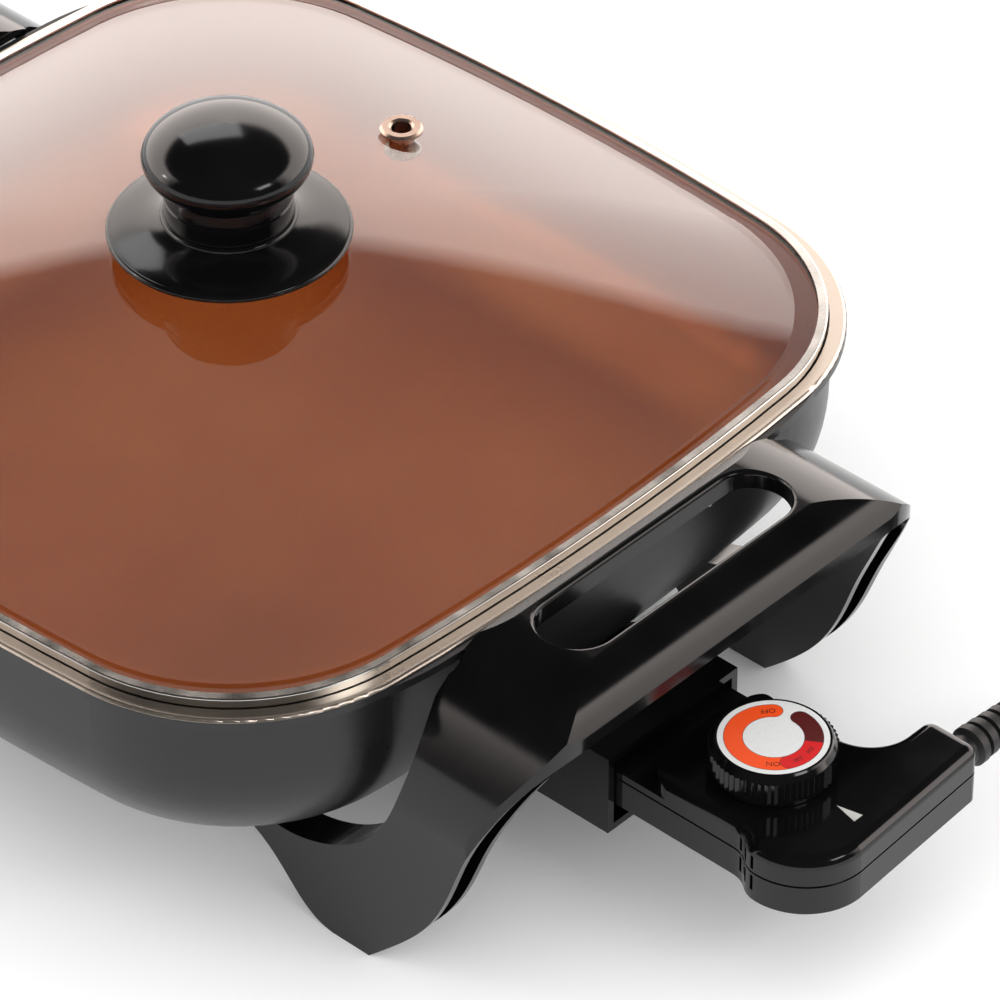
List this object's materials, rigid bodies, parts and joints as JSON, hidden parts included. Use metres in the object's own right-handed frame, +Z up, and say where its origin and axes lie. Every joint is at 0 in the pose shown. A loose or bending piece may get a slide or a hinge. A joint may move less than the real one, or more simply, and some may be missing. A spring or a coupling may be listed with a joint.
{
  "type": "electric skillet",
  "caption": "Square electric frying pan with a lift-off domed glass lid, two arched handle-and-leg mouldings and a plug-in heat control with a dial and cord.",
  "frame": {"origin": "on the table, under the middle of the skillet with its heat control plugged in, cord left out", "axes": "+X to the side that the cord leaves, +Y from the heat control towards the far handle, +Z up"},
  "size_m": [0.3968, 0.546, 0.1787],
  "materials": {
    "ceramic_lining": "copper-coloured non-stick ceramic",
    "contact_receptacles": "plain",
    "control_housing_screws": "plated steel",
    "control_lower_housing": "glossy",
    "control_pointer": "pale print",
    "control_upper_housing": "glossy",
    "cord_coil": "flexible cord",
    "cord_lead": "flexible cord",
    "cord_strain_relief": "ribbed",
    "dial_label": "printed",
    "dial_spindle": "plain",
    "front_handle_and_legs": "glossy phenolic",
    "handle_arm_screws": "plated steel",
    "handle_ledge_screws": "plated steel",
    "heating_element": "sheath",
    "lid_glass": "clear tempered",
    "lid_knob_base": "glossy phenolic",
    "lid_knob_grip": "glossy phenolic",
    "lid_knob_screw": "stainless",
    "lid_knob_seal": "silicone",
    "lid_knob_steel_washer": "stainless",
    "lid_steel_band": "polished stainless",
    "pan_body": "cast, satin dark grey outside, bare rim",
    "plug_blades": "plain",
    "plug_body": "moulded",
    "rear_handle_and_legs": "glossy phenolic",
    "sensor_probe": "stainless",
    "sensor_sleeve": "plain",
    "socket_guard": "glossy phenolic",
    "socket_guard_screws": "plated steel",
    "steam_vent_grommet": "stainless",
    "temperature_dial": "glossy",
    "terminal_pin_bushes": "plain",
    "terminal_pins": "nickel plated",
    "thermostat_blades": "spring strip",
    "thermostat_frame": "steatite"
  },
  "bodies": {
    "pan": {"ceramic_lining": "ceramic_lining", "front_handle_and_legs": "front_handle_and_legs", "handle_arm_screws": "handle_arm_screws", "handle_ledge_screws": "handle_ledge_screws", "heating_element": "heating_element", "pan_body": "pan_body", "rear_handle_and_legs": "rear_handle_and_legs", "sensor_sleeve": "sensor_sleeve", "socket_guard": "socket_guard", "socket_guard_screws": "socket_guard_screws", "terminal_pin_bushes": "terminal_pin_bushes", "terminal_pins": "terminal_pins"},
    "lid": {"lid_glass": "lid_glass", "lid_steel_band": "lid_steel_band", "steam_vent_grommet": "steam_vent_grommet", "lid_knob_base": "lid_knob_base", "lid_knob_grip": "lid_knob_grip", "lid_knob_screw": "lid_knob_screw", "lid_knob_steel_washer": "lid_knob_steel_washer", "lid_knob_seal": "lid_knob_seal"},
    "heat_control": {"control_lower_housing": "control_lower_housing", "control_upper_housing": "control_upper_housing", "control_pointer": "control_pointer", "control_housing_screws": "control_housing_screws", "contact_receptacles": "contact_receptacles", "sensor_probe": "sensor_probe", "thermostat_frame": "thermostat_frame", "thermostat_blades": "thermostat_blades", "cord_strain_relief": "cord_strain_relief", "cord_lead": "cord_lead", "cord_coil": "cord_coil", "plug_body": "plug_body", "plug_blades": "plug_blades"},
    "dial": {"temperature_dial": "temperature_dial", "dial_label": "dial_label", "dial_spindle": "dial_spindle"}
  },
  "joints": [
    {"name": "lid_lift", "type": "slide", "parent": "pan", "child": "lid", "axis": [0, 0, 1], "range_m": [0, 0.12]},
    {"name": "control_unplug", "type": "slide", "parent": "pan", "child": "heat_control", "axis": [0, -1, 0], "range_m": [0, 0.12]},
    {"name": "dial_turn", "type": "hinge", "parent": "heat_control", "child": "dial", "pos_m": [0, -0.186, 0.062], "axis": [0, 0, 1], "range_deg": [-100, 225]}
  ]
}
